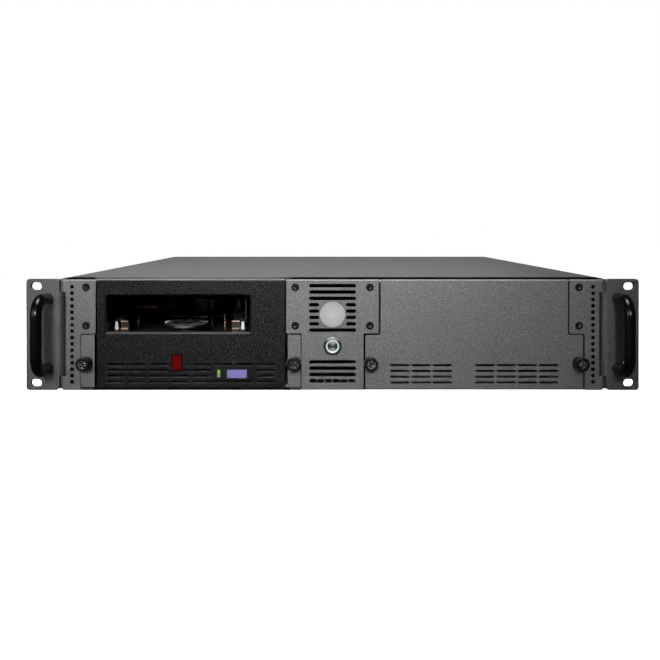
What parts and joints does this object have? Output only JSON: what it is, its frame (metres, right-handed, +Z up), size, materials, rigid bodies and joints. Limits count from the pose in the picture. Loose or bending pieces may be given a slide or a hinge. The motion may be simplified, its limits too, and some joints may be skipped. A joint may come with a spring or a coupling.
{
  "type": "rack-mount data tape drive",
  "caption": "Two-unit rack enclosure with a half-height tape drive on a pull-out sled, a blank-covered second bay, lit power button and bow handles.",
  "frame": {"origin": "centre of the footprint, on the underside of the chassis tray", "axes": "+Z up, -Y out of the front panels, +X to the right as seen from the front"},
  "size_m": [0.4826, 0.5044, 0.0887],
  "materials": {
    "bezel_black": "black moulded plastic with a fine grain",
    "black_screw": "black oxide steel",
    "bracket_copper": "copper-coloured spring metal",
    "cast_deck": "dark passivated die-cast aluminium",
    "charcoal_powder": "charcoal powder coat with a fine speckle, half matt",
    "circuit_green": "green solder mask with dark parts",
    "dark_plastic": "black moulded plastic",
    "dark_sheet": "black-passivated sheet steel",
    "display_red": "dark red filter, glossy",
    "drive_sheet": "plain steel sheet",
    "ear_powder": "dark charcoal powder coat, fine texture",
    "eject_lilac": "lilac-blue moulded plastic",
    "flex_amber": "amber polyimide flat cable",
    "guard_wire": "plated wire",
    "handle_black": "black, semi-gloss with a soft highlight",
    "head_metal": "machined head block with a dark ceramic face",
    "hub_metal": "dark machined steel, bright teeth",
    "knob_black": "black anodised, knurled",
    "lamp_diffuser": "translucent white diffuser, lit",
    "led_green": "green light pipe, lit",
    "led_ring": "white-green ring light, lit",
    "motor_steel": "steel motor can with copper winding inside",
    "post_white": "white acetal",
    "psu_sheet": "plain zinc sheet",
    "reel_plastic": "dark grey moulded reel",
    "roller_steel": "ground steel roller",
    "spun_cap": "circular-brushed stainless steel",
    "steel_screw": "plain zinc steel",
    "switch_bezel": "dark nickel ring, polished",
    "zinc_sheet": "bright zinc-plated sheet steel"
  },
  "bodies": {
    "chassis": {"chassis_tray": "charcoal_powder", "rear_panel": "charcoal_powder", "top_cover": "charcoal_powder", "case_fasteners": "steel_screw", "front_frame": "charcoal_powder", "centre_tunnel": "zinc_sheet", "bay_guides": "zinc_sheet", "side_strip_right": "charcoal_powder", "side_strip_left": "charcoal_powder", "centre_panel": "charcoal_powder", "panel_screws": "black_screw", "lamp_lens": "lamp_diffuser", "lamp_board": "circuit_green", "power_button_body": "switch_bezel", "power_button_ring": "led_ring", "rack_ear_right": "ear_powder", "rack_ear_left": "ear_powder", "handle_right": "handle_black", "handle_left": "handle_black", "power_supply": "psu_sheet", "power_inlet": "dark_plastic", "rocker_housing": "dark_plastic", "interface_board": "circuit_green", "fan_frame": "dark_plastic", "fan_guard": "guard_wire"},
    "power_button": {"power_button_cap": "spun_cap"},
    "second_bay_cover": {"blank_cover": "charcoal_powder", "blank_ferrules": "knob_black"},
    "knob_1": {"thumbscrew_1": "knob_black"},
    "knob_2": {"thumbscrew_2": "knob_black"},
    "knob_3": {"thumbscrew_3": "knob_black"},
    "knob_4": {"thumbscrew_4": "knob_black"},
    "drive_module": {"drive_sled": "charcoal_powder", "sled_ferrules": "knob_black", "drive_bezel": "bezel_black", "display_lens": "display_red", "display_module": "dark_plastic", "status_light": "led_green", "drive_base": "cast_deck", "drive_top_cover": "drive_sheet", "drive_bottom_plate": "drive_sheet", "drive_circuit_board": "circuit_green", "reel_motors": "motor_steel", "deck_posts_and_screws": "steel_screw", "head_guide_frame": "drive_sheet", "alignment_posts": "post_white", "post_brackets": "bracket_copper", "loader_motor": "dark_plastic", "flex_cable": "flex_amber"},
    "eject": {"eject_button": "eject_lilac"},
    "supply_clutch": {"supply_hub": "hub_metal"},
    "machine_reel": {"takeup_reel": "reel_plastic"},
    "roller_1": {"guide_roller_1": "roller_steel"},
    "roller_2": {"guide_roller_2": "roller_steel"},
    "roller_3": {"guide_roller_3": "roller_steel"},
    "roller_4": {"guide_roller_4": "roller_steel"},
    "head": {"head_block": "head_metal"},
    "loader": {"loader_carriage": "dark_sheet"},
    "fan": {"fan_rotor": "dark_plastic"},
    "rocker": {"rocker_paddle": "dark_plastic"}
  },
  "joints": [
    {"name": "drive_slide", "type": "slide", "parent": "chassis", "child": "drive_module", "axis": [0, -1, 0], "range_m": [0, 0.24]},
    {"name": "second_bay_cover_off", "type": "slide", "parent": "chassis", "child": "second_bay_cover", "axis": [0, -1, 0], "range_m": [0, 0.06]},
    {"name": "thumbscrew_1_turn", "type": "hinge", "parent": "drive_module", "child": "knob_1", "pos_m": [-0.1941, -0.2208, 0.0218], "axis": [0, 1, 0], "continuous": true},
    {"name": "thumbscrew_2_turn", "type": "hinge", "parent": "drive_module", "child": "knob_2", "pos_m": [-0.03, -0.2208, 0.0218], "axis": [0, 1, 0], "continuous": true},
    {"name": "thumbscrew_3_turn", "type": "hinge", "parent": "second_bay_cover", "child": "knob_3", "pos_m": [0.03, -0.2208, 0.0218], "axis": [0, 1, 0], "continuous": true},
    {"name": "thumbscrew_4_turn", "type": "hinge", "parent": "second_bay_cover", "child": "knob_4", "pos_m": [0.1941, -0.2208, 0.0218], "axis": [0, 1, 0], "continuous": true},
    {"name": "power_button_press", "type": "slide", "parent": "chassis", "child": "power_button", "axis": [0, 1, 0], "range_m": [0, 0.0012], "stiffness_N_per_m": 900, "springref_m": -0.0006},
    {"name": "eject_button_press", "type": "slide", "parent": "drive_module", "child": "eject", "axis": [0, 1, 0], "range_m": [0, 0.0015], "stiffness_N_per_m": 600, "springref_m": -0.0006},
    {"name": "supply_clutch_spin", "type": "hinge", "parent": "drive_module", "child": "supply_clutch", "pos_m": [-0.1245, -0.1628, 0.045], "axis": [0, 0, 1], "continuous": true},
    {"name": "machine_reel_spin", "type": "hinge", "parent": "drive_module", "child": "machine_reel", "pos_m": [-0.1245, -0.0608, 0.05], "axis": [0, 0, 1], "continuous": true},
    {"name": "roller_1_spin", "type": "hinge", "parent": "drive_module", "child": "roller_1", "pos_m": [-0.06, -0.1308, 0.053], "axis": [0, 0, 1], "continuous": true},
    {"name": "roller_2_spin", "type": "hinge", "parent": "drive_module", "child": "roller_2", "pos_m": [-0.062, -0.1123, 0.053], "axis": [0, 0, 1], "continuous": true},
    {"name": "roller_3_spin", "type": "hinge", "parent": "drive_module", "child": "roller_3", "pos_m": [-0.062, -0.0688, 0.053], "axis": [0, 0, 1], "continuous": true},
    {"name": "roller_4_spin", "type": "hinge", "parent": "drive_module", "child": "roller_4", "pos_m": [-0.067, -0.0508, 0.053], "axis": [0, 0, 1], "continuous": true},
    {"name": "head_step", "type": "slide", "parent": "drive_module", "child": "head", "axis": [0, 0, 1], "range_m": [-0.0015, 0.0015]},
    {"name": "loader_lower", "type": "slide", "parent": "drive_module", "child": "loader", "axis": [0, 0, -1], "range_m": [0, 0.011]},
    {"name": "fan_spin", "type": "hinge", "parent": "chassis", "child": "fan", "pos_m": [-0.02, 0.2276, 0.044], "axis": [0, 1, 0], "continuous": true},
    {"name": "rocker_tip", "type": "hinge", "parent": "chassis", "child": "rocker", "pos_m": [0.127, 0.2457, 0.022], "axis": [1, 0, 0], "range_deg": [-16, 0]}
  ]
}
